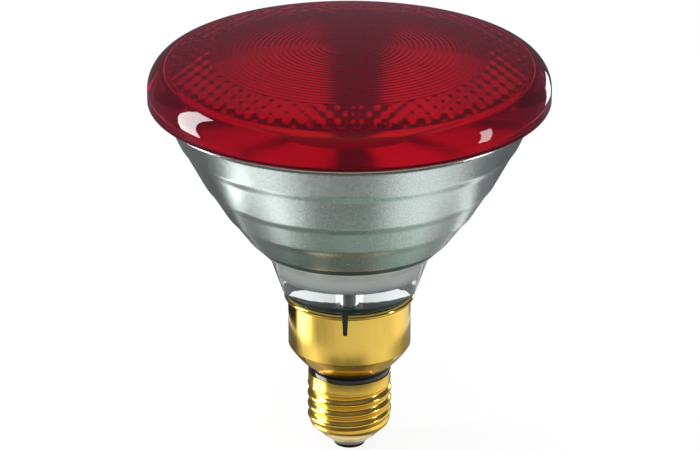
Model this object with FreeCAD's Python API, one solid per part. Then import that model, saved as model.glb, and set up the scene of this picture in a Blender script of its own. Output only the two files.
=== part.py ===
"""Infrared reflector lamp with a pressed red lens and a skirted E27 screw cap.

Lengths are in millimetres. The lamp's axis is Z. The underside of the centre contact is at Z = 0 and the
lens is at the top. Every separate piece of the lamp is one solid in its own file.
"""

import FreeCAD
import Part
import math
import os

# Front lens
lens_dia = 121.7
lens_height = 18.1
crown_radius = 287.0
shoulder_radius = 9.0
lens_wall = 3.6
lens_rim_wall = 5.6
lens_edge_bevel = 0.8
inner_corner_bevel = 1.8
bullseye_dia = 15.4
rib_count = 21
rib_pitch = 1.605
rib_height = 0.3
dimple_pitch = 4.46
dimple_dia = 4.4
dimple_depth = 0.6

# Seal between the lens and the reflector
seal_thickness = 0.9
seal_set_back = 2.45

# Reflector bowl
bowl_depth = 61.1
bowl_rim_wall = 5.1
bowl_vertex_rise = 0.7
flange_set_back = 0.4
flange_thickness = 1.2
flange_lip = 2.0
step_spacings = (8.9, 13.0, 10.0, 9.0)
step_depth = 0.45
step_bulge = 0.35
neck_shoulder_rise = 12.4
bowl_floor_thickness = 5.8
bowl_floor_sag = 2.0

# Reflector neck
heel_gap = 0.98
heel_overhang = 3.5
heel_bevel = 0.8
neck_wall = 3.7
neck_roof_rise = 0.9
neck_tail = 2.0
lug_count = 6
lug_width = 5.6
lug_height = 7.6
lug_stand_out = 1.35

# Filament mount inside the bulb
ferrule_spacing = 15.0
ferrule_dia = 4.4
ferrule_wall = 0.35
ferrule_stand_out = 0.5
post_dia = 1.5
post_bend_radius = 1.2
post_hook_length = 1.8
filament_height = 10.4
coil_wire_dia = 0.36
coil_pitch = 2.0
coil_overlap = 1.0
bridge_height = 5.7
bridge_dia = 3.2
bridge_overhang = 1.4
support_wire_dia = 0.5

# Exhaust tube
exhaust_dia = 4.0
exhaust_bore_dia = 2.4
exhaust_length = 8.5
exhaust_tip_dia = 1.2

# Brass skirt
skirt_dia = 38.0
skirt_sheet = 0.4
skirt_height = 16.2
skirt_taper_height = 6.8
skirt_taper_bulge = 0.6
skirt_foot_dia = 26.7
skirt_floor_width = 2.85
rim_bead_radius = 0.82
slot_count = 3
slot_first_angle = -94.0
slot_depth = 6.2
slot_width_top = 1.9
slot_width_foot = 1.2

# Insulating ring between the skirt and the screw shell
ring_height = 2.8
ring_wall = 1.45
ring_top_set_back = 0.45
ring_foot_set_back = 0.3
ring_head_overlap = 0.9
ring_head_height = 1.4
ring_spigot_height = 1.6

# Screw shell with its rolled thread
thread_dia = 26.3
thread_depth = 1.03
thread_pitch = 3.629
thread_height = 14.5
thread_runout = 2.0
crest_below_band = 3.1
shell_sheet = 0.3
shell_band_dia = 25.8
shell_band_height = 3.2
shell_cone_height = 4.5
shell_cone_dia = 24.6
shell_mouth_z = 3.8
shell_mouth_dia = 15.6
sections_per_turn = 8

# Black glass base and centre contact
base_set_back = 0.9
base_bore_dia = 3.2
base_proud = 0.15
contact_dia = 9.8
contact_thickness = 1.0
contact_bevel = 0.4
eyelet_dia = 2.4
solder_height = 0.35
solder_dia = 8.4
solder_flat_dia = 6.0
solder_stem_height = 0.4

# Lead wires
lead_dia = 0.8
lead_bend_radius = 3.0
lead_straight_length = 14.45
lead_slant_height = 15.0
shell_lead_gap = 0.4
shell_lead_bend_radius = 1.5

# Clearances
seat_gap = 0.05
skirt_fit = 0.05

# Heights of the contact and the screw shell, which follow from the sizes above
contact_underside_z = solder_height
contact_top_z = contact_underside_z + contact_thickness
shell_cone_z = shell_mouth_z + shell_cone_height
shell_band_z = shell_cone_z + thread_height
shell_top_z = shell_band_z + shell_band_height
thread_crest_z = shell_band_z - crest_below_band
base_top_z = shell_cone_z - base_set_back
shell_lead_z = shell_top_z - ring_spigot_height - shell_lead_gap - lead_dia / 2

# Places on the skirt
skirt_radius = skirt_dia / 2
skirt_inner_radius = skirt_radius - skirt_sheet
skirt_foot_radius = skirt_foot_dia / 2
skirt_hole_radius = skirt_foot_radius - skirt_floor_width
skirt_foot_z = shell_top_z + ring_height
skirt_floor_z = skirt_foot_z + skirt_sheet
skirt_taper_z = skirt_foot_z + skirt_taper_height
rim_bead_z = skirt_taper_z + skirt_height

# Places on the neck and the bowl
heel_z = rim_bead_z + rim_bead_radius + heel_gap
lug_foot_z = heel_z - lug_height
neck_end_z = lug_foot_z - neck_tail
neck_radius = skirt_inner_radius - skirt_fit - lug_stand_out
neck_bore_radius = neck_radius - neck_wall
neck_roof_z = heel_z + neck_roof_rise
neck_shoulder_z = heel_z + neck_shoulder_rise
bowl_floor_z = neck_roof_z + bowl_floor_thickness
seal_z = heel_z + bowl_depth
flange_foot_z = seal_z - flange_thickness

# Places on the lens
lens_radius = lens_dia / 2
lens_foot_z = seal_z + seal_thickness
lamp_length = lens_foot_z + lens_height
crown_centre_z = lamp_length - crown_radius
shoulder_centre_r = lens_radius - shoulder_radius
shoulder_reach = crown_radius - shoulder_radius
shoulder_centre_z = crown_centre_z + math.sqrt(shoulder_reach**2 - shoulder_centre_r**2)
inner_crown_radius = crown_radius - lens_wall
lens_bore_radius = lens_radius - lens_rim_wall
lens_land_radius = lens_bore_radius - inner_corner_bevel
rib_start = bullseye_dia / 2
rib_end = rib_start + rib_count * rib_pitch

# The bowl's outside and its mirror are both parabolas, and each runs through its rim
seal_radius = lens_radius - seal_set_back
flange_radius = seal_radius - flange_set_back
bowl_vertex_z = heel_z + bowl_vertex_rise
bowl_spread = (flange_radius - flange_lip) ** 2 / (flange_foot_z - bowl_vertex_z)
mirror_vertex_z = bowl_floor_z - bowl_floor_sag
mirror_spread = (flange_radius - bowl_rim_wall) ** 2 / (seal_z - mirror_vertex_z)

# Places in the filament mount
ferrule_offset = ferrule_spacing / 2
ferrule_top_z = bowl_floor_z + ferrule_stand_out
filament_z = bowl_floor_z + filament_height
bridge_z = bowl_floor_z + bridge_height
coil_radius = post_dia / 2 + seat_gap + coil_wire_dia / 2
lead_start_z = ferrule_top_z - ferrule_wall


def point(radius, height):
    return FreeCAD.Vector(radius, 0, height)


def on_circle(centre_r, centre_z, radius, degrees):
    angle = math.radians(degrees)
    return (centre_r + radius * math.cos(angle), centre_z + radius * math.sin(angle))


def turned(outline):
    """Solid of revolution. An entry is a corner (r, z), or (r, z, through_r, through_z) where an arc ends."""
    edges = []
    here = outline[0][:2]
    for entry in outline[1:] + outline[:1]:
        there = entry[:2]
        if len(entry) == 4:
            edges.append(Part.Arc(point(*here), point(*entry[2:]), point(*there)).toShape())
        else:
            edges.append(Part.makeLine(point(*here), point(*there)))
        here = there
    face = Part.Face(Part.Wire(edges))
    return face.revolve(FreeCAD.Vector(0, 0, 0), FreeCAD.Vector(0, 0, 1), 360).Solids[0]


def rod(radius, low_z, high_z, y=0):
    return Part.makeCylinder(radius, high_z - low_z, FreeCAD.Vector(0, y, low_z))


def turned_copies(shape, count, first_angle):
    """Copies of a shape spaced evenly about the lamp's axis."""
    copies = []
    for number in range(count):
        copy = shape.copy()
        copy.rotate(FreeCAD.Vector(0, 0, 0), FreeCAD.Vector(0, 0, 1), first_angle + 360 * number / count)
        copies.append(copy)
    return copies


def bent_wire(corners, diameter, bend_radius):
    """Round wire through corners (y, z) in the plane x = 0, with every inner corner bent to one radius."""
    places = [FreeCAD.Vector(0, y, z) for y, z in corners]
    edges = []
    start = places[0]
    for before, corner, after in zip(places, places[1:], places[2:]):
        backwards = (before - corner).normalize()
        onwards = (after - corner).normalize()
        half_angle = backwards.getAngle(onwards) / 2
        tangent_length = bend_radius / math.tan(half_angle)
        inwards = (backwards + onwards).normalize()
        middle = corner + inwards * (bend_radius / math.sin(half_angle) - bend_radius)
        first = corner + backwards * tangent_length
        last = corner + onwards * tangent_length
        edges.append(Part.makeLine(start, first))
        edges.append(Part.Arc(first, middle, last).toShape())
        start = last
    edges.append(Part.makeLine(start, places[-1]))
    section = Part.Wire(Part.makeCircle(diameter / 2, places[0], places[1] - places[0]))
    return Part.Wire(edges).makePipeShell([section], True, False)


def inner_crown_z(radius):
    return crown_centre_z + math.sqrt(inner_crown_radius**2 - radius**2)


def lens_ribs():
    """Corners of the concentric ribs on the lens's inner face, from the outermost inwards."""
    corners = []
    for number in range(rib_count, 0, -1):
        foot = rib_start + (number - 1) * rib_pitch
        crest = foot + rib_pitch / 2
        corners.append((crest, inner_crown_z(crest) - rib_height))
        corners.append((foot, inner_crown_z(foot)))
    return corners


def dimple_places():
    """Close-packed places in the ring between the ribs and the lens's rim."""
    dimple_radius = dimple_dia / 2
    row_step = dimple_pitch * math.sqrt(3) / 2
    reach = int(lens_land_radius / row_step) + 1
    places = []
    for row in range(-reach, reach + 1):
        for column in range(-reach, reach + 1):
            x = (column + row % 2 / 2) * dimple_pitch
            y = row * row_step
            if rib_end + dimple_radius < math.hypot(x, y) < lens_land_radius - dimple_radius:
                places.append((x, y))
    return places


def dimple(x, y):
    """Six-sided hollow with its base just under the lens's inner face and its point in the glass."""
    top = FreeCAD.Vector(x, y, inner_crown_z(math.hypot(x, y)) + dimple_depth)
    radius = dimple_dia / math.sqrt(3)
    drop = 2 * dimple_depth
    corners = []
    for number in range(6):
        angle = math.radians(60 * number + 30)
        corners.append(top + FreeCAD.Vector(2 * radius * math.cos(angle), 2 * radius * math.sin(angle), -drop))
    faces = [Part.Face(Part.makePolygon(corners + corners[:1]))]
    for one, other in zip(corners, corners[1:] + corners[:1]):
        faces.append(Part.Face(Part.makePolygon([one, other, top, one])))
    return Part.Solid(Part.Shell(faces))


def front_lens():
    tilt = math.degrees(math.asin(shoulder_centre_r / shoulder_reach))
    crown_end = on_circle(0, crown_centre_z, crown_radius, 90 - tilt)
    crown_middle = on_circle(0, crown_centre_z, crown_radius, 90 - tilt / 2)
    shoulder_middle = on_circle(shoulder_centre_r, shoulder_centre_z, shoulder_radius, 45 - tilt / 2)
    land_middle = (lens_land_radius + rib_end) / 2
    outline = [
        (0, lamp_length),
        (*crown_end, *crown_middle),
        (lens_radius, shoulder_centre_z, *shoulder_middle),
        (lens_radius, lens_foot_z + lens_edge_bevel),
        (lens_radius - lens_edge_bevel, lens_foot_z),
        (lens_bore_radius, lens_foot_z),
        (lens_bore_radius, inner_crown_z(lens_land_radius) - inner_corner_bevel),
        (lens_land_radius, inner_crown_z(lens_land_radius)),
        (rib_end, inner_crown_z(rib_end), land_middle, inner_crown_z(land_middle)),
        *lens_ribs(),
        (0, inner_crown_z(0), rib_start / 2, inner_crown_z(rib_start / 2)),
    ]
    dimples = [dimple(x, y) for x, y in dimple_places()]
    return turned(outline).cut(dimples)


def rim_seal():
    outline = [
        (lens_bore_radius, seal_z),
        (seal_radius, seal_z),
        (seal_radius, lens_foot_z),
        (lens_bore_radius, lens_foot_z),
    ]
    return turned(outline)


def bowl_radius(height):
    return math.sqrt(bowl_spread * (height - bowl_vertex_z))


def mirror_radius(height):
    return math.sqrt(mirror_spread * (height - mirror_vertex_z))


def bowl_bands():
    """Outside of the bowl, down from the flange: a rounded band above each step, then the clear shoulder."""
    outline = []
    top_z = flange_foot_z
    top_r = bowl_radius(top_z)
    for spacing in step_spacings:
        step_z = top_z - spacing
        if step_z - step_depth < neck_shoulder_z:
            break
        middle_z = (top_z + step_z) / 2
        outline.append((top_r, top_z))
        outline.append((bowl_radius(step_z), step_z, bowl_radius(middle_z) + step_bulge, middle_z))
        top_z = step_z - step_depth
        top_r = bowl_radius(top_z) - step_depth
    middle_z = (top_z + neck_shoulder_z) / 2
    outline.append((top_r, top_z))
    outline.append((bowl_radius(neck_shoulder_z), neck_shoulder_z, bowl_radius(middle_z), middle_z))
    return outline


def mirror_middle(low_z, high_z):
    """A place on the mirror's curve between two heights, midway along the radius."""
    radius = (mirror_radius(low_z) + mirror_radius(high_z)) / 2
    return (radius, mirror_vertex_z + radius**2 / mirror_spread)


def neck_lug():
    """Block on the neck that fills the space between the glass and the skirt."""
    start = neck_radius - neck_wall / 2
    corner = FreeCAD.Vector(start, -lug_width / 2, lug_foot_z)
    block = Part.makeBox(skirt_inner_radius - start, lug_width, heel_z - lug_foot_z, corner)
    return block.common(rod(skirt_inner_radius - skirt_fit, lug_foot_z, heel_z))


def reflector():
    """Pressed glass bowl with a curved mirror inside and a hollow neck below its floor."""
    heel_radius = neck_radius + heel_overhang
    curve_z = bowl_floor_z + (seal_z - bowl_floor_z) / 4
    outline = [
        (flange_radius, seal_z),
        (flange_radius, flange_foot_z),
        *bowl_bands(),
        (heel_radius, heel_z + heel_bevel),
        (heel_radius - heel_bevel, heel_z),
        (neck_radius, heel_z),
        (neck_radius, neck_end_z),
        (neck_bore_radius, neck_end_z),
        (neck_bore_radius, neck_roof_z),
        (0, neck_roof_z),
        (0, bowl_floor_z),
        (mirror_radius(bowl_floor_z), bowl_floor_z),
        (mirror_radius(curve_z), curve_z, *mirror_middle(bowl_floor_z, curve_z)),
        (mirror_radius(seal_z), seal_z, *mirror_middle(curve_z, seal_z)),
    ]
    holes = [
        rod(ferrule_dia / 2, neck_roof_z, ferrule_top_z, ferrule_offset),
        rod(ferrule_dia / 2, neck_roof_z, ferrule_top_z, -ferrule_offset),
        rod(exhaust_bore_dia / 2, neck_roof_z, bowl_floor_z),
    ]
    lugs = turned_copies(neck_lug(), lug_count, -90)
    return turned(outline).fuse(lugs).cut(holes).removeSplitter()


def ferrule(side):
    """Metal cup sealed into the bowl's floor, with its mouth downwards."""
    radius = ferrule_dia / 2 - seat_gap
    mouth_z = neck_roof_z - ferrule_stand_out
    cup = rod(radius, mouth_z, ferrule_top_z, side * ferrule_offset)
    hollow = rod(radius - ferrule_wall, mouth_z, ferrule_top_z - ferrule_wall, side * ferrule_offset)
    return cup.cut(hollow)


def post(side):
    """Current post on its ferrule, with its top bent inwards to carry one end of the filament."""
    outer = side * ferrule_offset
    hook_end = side * (ferrule_offset - post_bend_radius - post_hook_length)
    corners = [(outer, ferrule_top_z), (outer, filament_z), (hook_end, filament_z)]
    return bent_wire(corners, post_dia, post_bend_radius)


def filament():
    """Coil whose first and last turns sit round the hooked ends of the two posts."""
    hook_end = ferrule_offset - post_bend_radius - post_hook_length
    length = 2 * (hook_end + coil_overlap)
    line = Part.makeHelix(coil_pitch, length, coil_radius)
    section = Part.makeCircle(coil_wire_dia / 2, FreeCAD.Vector(coil_radius, 0, 0), FreeCAD.Vector(0, 1, 0))
    coil = Part.Wire(line).makePipeShell([Part.Wire(section)], True, True)
    coil.translate(FreeCAD.Vector(0, 0, -length / 2))
    coil.rotate(FreeCAD.Vector(0, 0, 0), FreeCAD.Vector(1, 0, 0), 90)
    coil.translate(FreeCAD.Vector(0, 0, filament_z))
    return coil


def support_bridge():
    """Glass rod across the two posts, melted round each of them."""
    half = ferrule_offset + post_dia / 2 + bridge_overhang
    bar = Part.makeCylinder(bridge_dia / 2, 2 * half, FreeCAD.Vector(0, -half, bridge_z), FreeCAD.Vector(0, 1, 0))
    ends = []
    for end in bar.Edges:
        if end.Closed:
            ends.append(end)
    bar = bar.makeFillet(bridge_dia / 4, ends)
    hole = rod(post_dia / 2 + seat_gap, bridge_z - bridge_dia, bridge_z + bridge_dia)
    holes = []
    for side in (-1, 1):
        place = hole.copy()
        place.translate(FreeCAD.Vector(0, side * ferrule_offset, 0))
        holes.append(place)
    socket = rod(support_wire_dia / 2 + seat_gap, bridge_z, bridge_z + bridge_dia)
    return bar.cut(holes + [socket])


def support_wire():
    """Wire set in the bridge, with an eye that holds the middle of the coil."""
    eye_radius = coil_radius + coil_wire_dia / 2 + seat_gap + support_wire_dia / 2
    eye = Part.makeTorus(
        eye_radius,
        support_wire_dia / 2,
        FreeCAD.Vector(0, 0, filament_z),
        FreeCAD.Vector(0, 1, 0),
    )
    return rod(support_wire_dia / 2, bridge_z, filament_z - eye_radius).fuse(eye)


def exhaust_tip():
    """Glass tube under the bowl's floor, melted shut at its lower end."""
    outer = exhaust_dia / 2
    bore = exhaust_bore_dia / 2
    tip = exhaust_tip_dia / 2
    tip_z = neck_roof_z - exhaust_length
    neck_z = tip_z + exhaust_dia
    outline = [
        (bore, neck_roof_z),
        (outer, neck_roof_z),
        (outer, neck_z),
        (tip, tip_z),
        (0, tip_z),
        (0, neck_z - bore),
        (bore, neck_z),
    ]
    return turned(outline)


def skirt():
    """Drawn brass cup with a tapered foot, a tightly rolled rim and slots that let the rim close on the neck."""
    chord = FreeCAD.Vector(skirt_radius - skirt_foot_radius, 0, skirt_taper_height)
    outwards = FreeCAD.Vector(chord.z, 0, -chord.x).normalize()
    middle = point((skirt_radius + skirt_foot_radius) / 2, skirt_foot_z + skirt_taper_height / 2)
    outside = middle + outwards * skirt_taper_bulge
    inside = outside - outwards * skirt_sheet
    bead_r = skirt_inner_radius + rim_bead_radius
    bead_foot_z = rim_bead_z - math.sqrt(rim_bead_radius**2 - (bead_r - skirt_radius) ** 2)
    inner_taper_z = skirt_taper_z + skirt_sheet / 2
    outline = [
        (skirt_hole_radius, skirt_floor_z),
        (skirt_hole_radius, skirt_foot_z),
        (skirt_foot_radius, skirt_foot_z),
        (skirt_radius, skirt_taper_z, outside.x, outside.z),
        (skirt_radius, bead_foot_z),
        (skirt_inner_radius, rim_bead_z, bead_r + rim_bead_radius, rim_bead_z),
        (skirt_inner_radius, inner_taper_z),
        (skirt_foot_radius - skirt_sheet / 2, skirt_floor_z, inside.x, inside.z),
    ]
    slot_foot_z = rim_bead_z - slot_depth
    slot_top_z = rim_bead_z + 2 * rim_bead_radius
    half_top = slot_width_top / 2
    half_foot = slot_width_foot / 2
    corners = [
        FreeCAD.Vector(0, -half_foot, slot_foot_z),
        FreeCAD.Vector(0, half_foot, slot_foot_z),
        FreeCAD.Vector(0, half_top, rim_bead_z),
        FreeCAD.Vector(0, half_top, slot_top_z),
        FreeCAD.Vector(0, -half_top, slot_top_z),
        FreeCAD.Vector(0, -half_top, rim_bead_z),
    ]
    face = Part.Face(Part.makePolygon(corners + corners[:1]))
    slot = face.extrude(FreeCAD.Vector(skirt_dia, 0, 0))
    return turned(outline).cut(turned_copies(slot, slot_count, slot_first_angle))


def insulating_ring():
    """Ring whose head holds the skirt's floor and whose spigot centres the screw shell."""
    waist = skirt_hole_radius - seat_gap
    bore = waist - ring_wall
    head = skirt_hole_radius + ring_head_overlap
    head_z = skirt_floor_z + seat_gap
    spigot = shell_band_dia / 2 - shell_sheet - seat_gap
    outline = [
        (bore, head_z + ring_head_height),
        (head, head_z + ring_head_height),
        (head, head_z),
        (waist, head_z),
        (waist, skirt_foot_z),
        (skirt_foot_radius - ring_top_set_back, skirt_foot_z),
        (shell_band_dia / 2 - ring_foot_set_back, shell_top_z),
        (spigot, shell_top_z),
        (spigot, shell_top_z - ring_spigot_height),
        (bore, shell_top_z - ring_spigot_height),
    ]
    return turned(outline)


def smooth_step(value, low, high):
    share = min(max((value - low) / (high - low), 0), 1)
    return share * share * (3 - 2 * share)


def thread_body(inset, low_z, high_z):
    """Round sections whose centres circle the axis once in each pitch, which gives a rolled round thread."""
    swing = thread_depth / 2
    thread_radius = thread_dia / 2 - swing
    band_radius = shell_band_dia / 2
    cone_radius = shell_cone_dia / 2
    step = thread_pitch / sections_per_turn
    count = round((high_z - low_z) / step)
    sections = []
    for number in range(count + 1):
        z = low_z + (high_z - low_z) * number / count
        to_band = smooth_step(z, shell_band_z - thread_runout, shell_band_z)
        from_cone = smooth_step(z, shell_cone_z, shell_cone_z + thread_runout)
        depth = swing * (1 - to_band) * from_cone
        plain = band_radius * to_band + thread_radius * (1 - to_band)
        radius = plain * from_cone + cone_radius * (1 - from_cone) - inset
        angle = 2 * math.pi * (z - thread_crest_z) / thread_pitch
        centre = FreeCAD.Vector(depth * math.cos(angle), depth * math.sin(angle), z)
        sections.append(Part.Wire(Part.makeCircle(radius, centre, FreeCAD.Vector(0, 0, 1))))
    return Part.makeLoft(sections, True, True)


def cone_body(inset):
    low = shell_mouth_dia / 2 - inset
    high = shell_cone_dia / 2 - inset
    outline = [(0, shell_mouth_z), (low, shell_mouth_z), (high, shell_cone_z), (0, shell_cone_z)]
    return turned(outline)


def screw_shell():
    """Thin brass shell: a plain band, the rolled thread, and a cone down to the glass base."""
    outside = thread_body(0, shell_cone_z, shell_band_z)
    band = rod(shell_band_dia / 2, shell_band_z, shell_top_z)
    inside = thread_body(shell_sheet, shell_cone_z, shell_band_z)
    bore = rod(shell_band_dia / 2 - shell_sheet, shell_band_z, shell_top_z)
    outer = outside.fuse([band, cone_body(0)])
    inner = inside.fuse([bore, cone_body(shell_sheet)])
    return outer.cut(inner)


def base_insulator():
    """Black glass cone in the shell's mouth, with a hole for the wire and a seat for the contact."""
    slope = (shell_cone_dia - shell_mouth_dia) / 2 / shell_cone_height
    inset = shell_sheet + seat_gap
    mouth = shell_mouth_dia / 2
    top = mouth + slope * (base_top_z - shell_mouth_z) - inset
    bore = base_bore_dia / 2
    outline = [
        (bore, contact_top_z),
        (contact_dia / 2 + base_proud, contact_top_z),
        (mouth - base_proud, shell_mouth_z - seat_gap),
        (mouth - inset, shell_mouth_z - seat_gap),
        (mouth - inset, shell_mouth_z),
        (top, base_top_z),
        (bore, base_top_z),
    ]
    return turned(outline)


def contact_plate():
    radius = contact_dia / 2
    outline = [
        (eyelet_dia / 2, contact_underside_z),
        (radius - contact_bevel, contact_underside_z),
        (radius, contact_underside_z + contact_bevel),
        (radius, contact_top_z),
        (eyelet_dia / 2, contact_top_z),
    ]
    return turned(outline)


def contact_solder():
    """Solder that covers the plate's underside and fills its eyelet round the wire's end."""
    stem = eyelet_dia / 2 - seat_gap
    top_z = contact_top_z + solder_stem_height
    outline = [
        (0, 0),
        (solder_flat_dia / 2, 0),
        (solder_dia / 2, contact_underside_z),
        (stem, contact_underside_z),
        (stem, top_z),
        (0, top_z),
    ]
    return turned(outline)


def contact_lead():
    """Wire from the rear ferrule to the solder of the centre contact."""
    bend_z = lead_start_z - lead_straight_length
    corners = [
        (ferrule_offset, lead_start_z),
        (ferrule_offset, bend_z),
        (0, bend_z - lead_slant_height),
        (0, contact_top_z + solder_stem_height),
    ]
    return bent_wire(corners, lead_dia, lead_bend_radius)


def shell_lead():
    """Wire from the front ferrule to the inside of the screw shell, below the insulating ring."""
    shell_wall = shell_band_dia / 2 - shell_sheet - seat_gap
    corners = [
        (-ferrule_offset, lead_start_z),
        (-ferrule_offset, shell_lead_z),
        (-shell_wall, shell_lead_z),
    ]
    return bent_wire(corners, lead_dia, shell_lead_bend_radius)


def all_parts():
    return {
        "front_lens": front_lens(),
        "rim_seal": rim_seal(),
        "reflector": reflector(),
        "ferrule_front": ferrule(-1),
        "ferrule_rear": ferrule(1),
        "post_front": post(-1),
        "post_rear": post(1),
        "filament": filament(),
        "support_bridge": support_bridge(),
        "support_wire": support_wire(),
        "exhaust_tip": exhaust_tip(),
        "contact_lead": contact_lead(),
        "shell_lead": shell_lead(),
        "skirt": skirt(),
        "insulating_ring": insulating_ring(),
        "screw_shell": screw_shell(),
        "base_insulator": base_insulator(),
        "contact_plate": contact_plate(),
        "contact_solder": contact_solder(),
    }


os.makedirs("parts", exist_ok=True)
for name, shape in all_parts().items():
    shape.exportStep("parts/" + name + ".step")
    print(name, len(shape.Solids), "solid", round(shape.Volume, 1), "mm3", "valid" if shape.isValid() else "INVALID")
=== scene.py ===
"""Infrared reflector lamp: red pressed-glass lens, silvered glass bowl, skirted brass screw cap.

The lamp stands on its centre contact at the origin, with +Z towards the lens. The lamp's sizes are in
millimetres and are turned into metres where a mesh is made, and the studio's sizes are in metres. The camera
looks along +Y, from above the lens.
"""

import math

import bmesh
import bpy
from mathutils import Matrix, Vector


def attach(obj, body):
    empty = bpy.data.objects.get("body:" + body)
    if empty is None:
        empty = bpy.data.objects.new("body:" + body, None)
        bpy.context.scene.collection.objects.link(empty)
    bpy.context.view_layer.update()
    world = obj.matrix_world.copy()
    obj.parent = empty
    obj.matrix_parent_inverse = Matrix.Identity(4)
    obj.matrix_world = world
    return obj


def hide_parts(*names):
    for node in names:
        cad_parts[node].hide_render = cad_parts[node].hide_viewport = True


MM = 0.001
TURN = 2 * math.pi

# Front lens
LAMP_LENGTH = 133.7
LENS_RADIUS = 60.85
LENS_FOOT_Z = 115.6
LENS_FOOT_FILLET = 1.0
CROWN_RADIUS = 287.0
SHOULDER_RADIUS = 9.0
LENS_WALL = 3.6
LENS_BORE = 55.25
BORE_FILLET = 0.5
INNER_CORNER = 1.7
RIB_START = 7.7
RIB_PITCH = 1.605
RIB_COUNT = 21
RIB_HEIGHT = 0.08
RIB_POINTS = 6
LENSLET_PITCH = 4.46
LENSLET_DEPTH = 0.16
LENSLET_EDGE = 0.6
LENSLET_ROWS = 36

# Seal and bowl
SEAL_Z = 114.7
SEAL_RADIUS = 58.4
SEAL_FILLET = 0.35
FLANGE_RADIUS = 58.0
FLANGE_FOOT_Z = 113.5
FLANGE_FILLET = 0.4
BOWL_VERTEX_Z = 54.3
BOWL_SPREAD = 52.97
BOWL_RINGS = 190
STEP_HEIGHTS = (104.6, 91.6, 81.6, 72.6)
STEP_DEPTH = 0.36
STEP_LEDGE = 2.8
STEP_EASE = 0.3
SILVER_END_Z = 72.2
COAT_EDGE = 2.3
FLOOR_Z = 60.3
MIRROR_VERTEX_Z = 58.3
MIRROR_SPREAD = 49.62
FILM_RINGS = 60
FILM_FOOT_RADIUS = 27.3
FERRULE_OFFSET = 7.5
FERRULE_RADIUS = 2.2
EXHAUST_BORE = 1.2
HOLE_POINTS = 48

# Neck
SHOULDER_Z = 66.0
HEEL_RADIUS = 20.7
HEEL_Z = 53.6
HEEL_FILLET = 0.8
NECK_RADIUS = 17.2
NECK_END_Z = 44.0
NECK_FILLET = 0.6
NECK_BORE = 13.5
NECK_ROOF_Z = 54.5
NECK_ROOF_FILLET = 1.5
# Height over the neck's end where the painted shade in the bore starts
SHADE_PAINT_START = 1.0
LUG_COUNT = 6
LUG_WIDTH = 5.6
LUG_RADIUS = 18.5
LUG_FOOT_Z = 46.0
LUG_EASE = 0.5
LUG_TAIL = 0.5

# Brass skirt
SKIRT_RADIUS = 19.0
SKIRT_SHEET = 0.4
SKIRT_FOOT_RADIUS = 13.35
SKIRT_FOOT_Z = 28.8
SKIRT_HOLE = 10.5
TAPER_TOP_Z = 35.6
TAPER_BULGE = 0.3
TAPER_RINGS = 14
RIM_Z = 51.8
RIM_BEAD = 0.82
RIM_SPRING = 1.0
SLOT_COUNT = 3
SLOT_ANGLE = -94
SLOT_FOOT_Z = 45.6
SLOT_TOP_WIDTH = 1.9
SLOT_FOOT_WIDTH = 1.2
WALL_SPLIT = 8.0
CUTTER_INSIDE = 2
CUTTER_OUTSIDE = 3
CUTTER_ABOVE = 2

# Insulating ring
RING_BORE = 9.0
RING_HEAD_RADIUS = 11.4
RING_HEAD_HEIGHT = 1.4
RING_RADIUS = 12.9
RING_FOOT_RADIUS = 12.65
RING_SPIGOT = 1.6

# Screw shell
THREAD_RADIUS = 12.635
THREAD_SWING = 0.515
THREAD_PITCH = 3.629
THREAD_CREST_Z = 19.7
THREAD_RUNOUT = 2.0
THREAD_RINGS = 72
SHELL_BAND = 12.9
SHELL_BAND_Z = 22.8
SHELL_TOP_Z = 26.0
SHELL_TOP_EASE = 0.08
SHELL_CONE = 12.3
SHELL_CONE_Z = 8.3
SHELL_CONE_EASE = 0.35
SHELL_MOUTH = 7.8
SHELL_MOUTH_Z = 3.8
SHELL_MOUTH_EASE = ((-0.12, -0.02), (0.1, 0.05))
SHELL_SHEET = 0.3
SEAT_GAP = 0.05

# Base and contact
BASE_HOLE = 1.6
BASE_FOOT_RADIUS = 5.05
BASE_FOOT_Z = 1.35
BASE_LIP = 0.2
BASE_TOP_Z = 7.4
CONTACT_RADIUS = 4.9
CONTACT_FOOT_Z = 0.35
CONTACT_HOLE = 1.2
SOLDER_RADIUS = 4.2
SOLDER_FACE = 3.2
SOLDER_STEM = 1.15
SOLDER_TOP_Z = 1.75

# Mesh fineness, as points round a full circle
AROUND = 240
FINE_AROUND = 3 * AROUND
STUDIO_AROUND = 96

# Camera and studio
CAMERA_DISTANCE = 0.9484
CAMERA_ELEVATION = 22.736
CAMERA_TARGET_Z = 0.07437
CAMERA_SIDE = 0.000165
FOCAL_LENGTH = 159.1
SENSOR_WIDTH = 36
FLOOR_REACH = 3
FLOOR_TONE = 0.82
FLOOR_GLOW = 1.05
FLOOR_GLOW_SHARE = 0.85
TENT_RADIUS = 1.3
TENT_FOOT_Z = 0.0006
TENT_RINGS = 12
TENT_LEVEL = 0.10
TABLE_RADIUS = 0.1305
CARD_Z = 0.0004
PANEL_RADIUS = 0.5
PANEL_TOP_SHARE = 0.45
WALL_RADIUS = 0.9
WALL_HEIGHT = 0.26
COOL_TINT = (0.95, 0.97, 1.0)
TENT_TINT = (0.95, 1.0, 1.15)
GREEN_TINT = (0.77, 1.0, 0.88)

# Numbers of the reflector's materials
CLEAR, COAT, FILM, FILM_FOOT, SHADE_PAINT = range(5)

# Brass, with a grain drawn out along the lamp
BRASS_TONES = (0.79, 0.52, 0.092), (0.87, 0.585, 0.118)
DRAWN_GRAIN = (1, 1, 0.15)


def arc(centre_r, centre_z, radius, start, end, count):
    """Points (r, z) along an arc, with its ends given in degrees."""
    points = []
    for number in range(count + 1):
        angle = math.radians(start + (end - start) * number / count)
        points.append((centre_r + radius * math.cos(angle), centre_z + radius * math.sin(angle)))
    return points


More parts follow.
